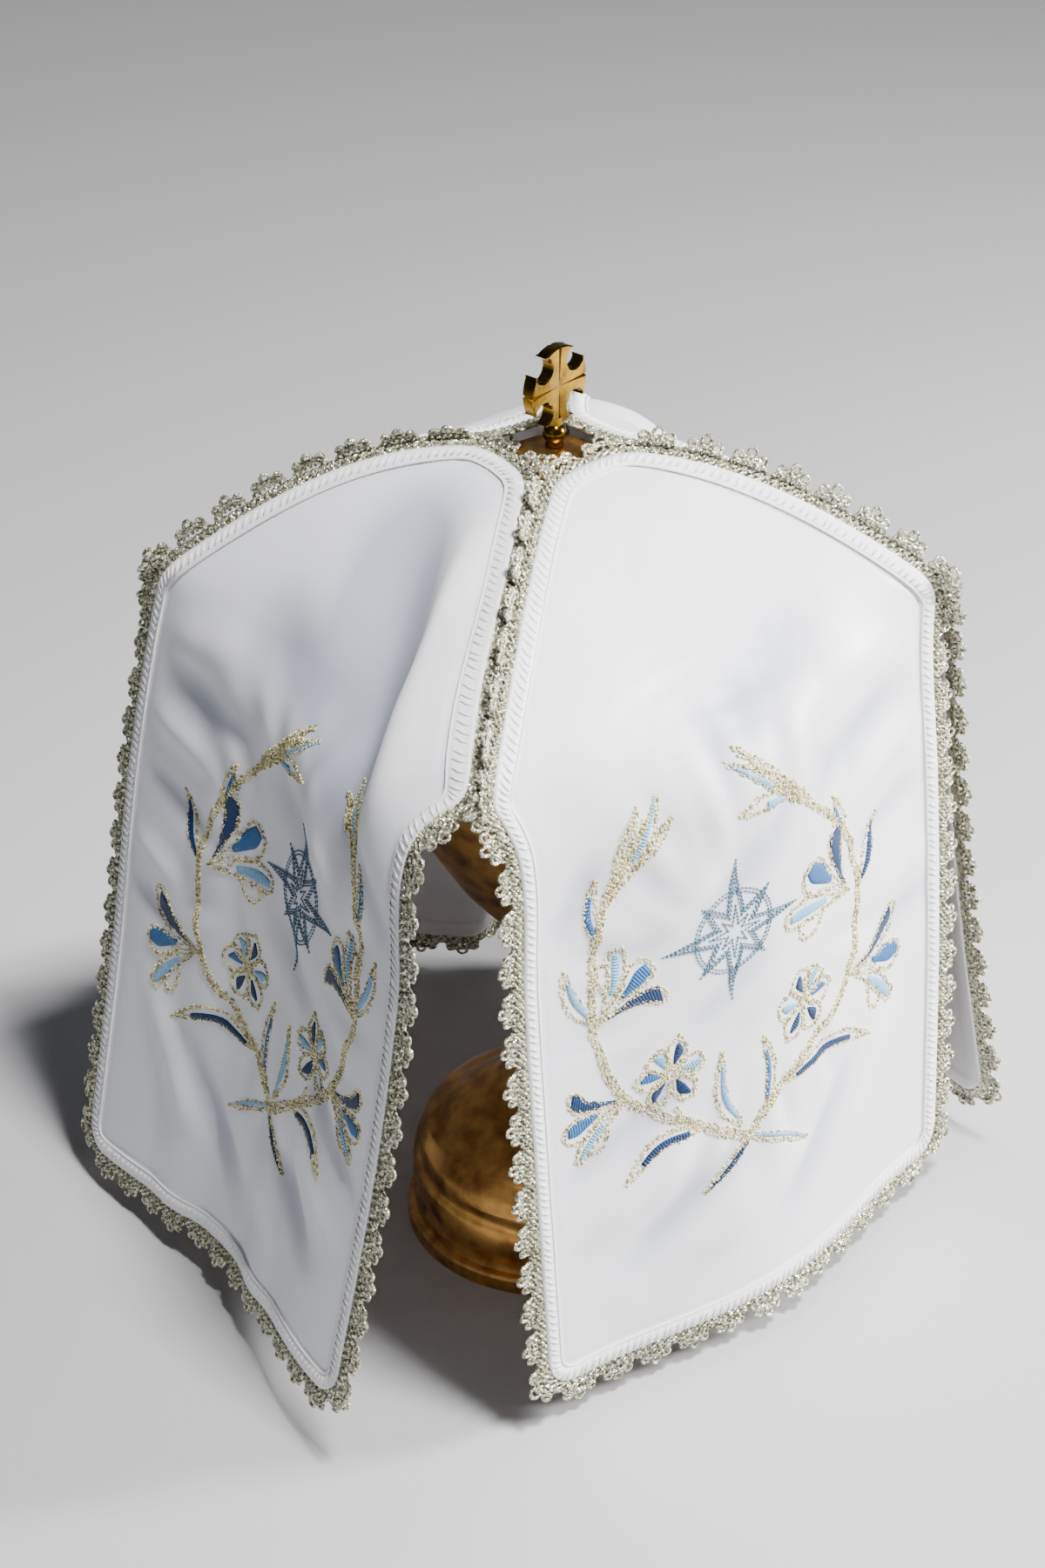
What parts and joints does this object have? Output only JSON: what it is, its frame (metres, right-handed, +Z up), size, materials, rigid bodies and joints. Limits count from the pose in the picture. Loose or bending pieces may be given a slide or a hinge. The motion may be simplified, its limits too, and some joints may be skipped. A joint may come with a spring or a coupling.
{
  "type": "ciborium veil on a plain ciborium",
  "caption": "White satin veil of separate home-plate panels edged in silver lace and embroidered with lily wreaths, hanging over the lid of a plain gilt ciborium with a cross finial.",
  "frame": {"origin": "centre of the ciborium's foot, on the surface it stands on", "axes": "+Z up along the ciborium's axis, -Y towards the open gap between the two front panels, +X to the right seen from there"},
  "size_m": [0.2947, 0.2617, 0.2958],
  "materials": {
    "satin": "white satin with blue and pale gold embroidery",
    "lace": "silver metallic thread lace",
    "gilt": "polished gilt"
  },
  "bodies": {
    "root": {"panel_front_left": "satin", "panel_front_right": "satin", "panel_back_right": "satin", "panel_back_left": "satin", "lace_front_left": "lace", "lace_front_right": "lace", "lace_back_right": "lace", "lace_back_left": "lace", "ciborium_cup": "gilt", "ciborium_lid": "gilt", "finial_cross": "gilt"}
  },
  "joints": []
}
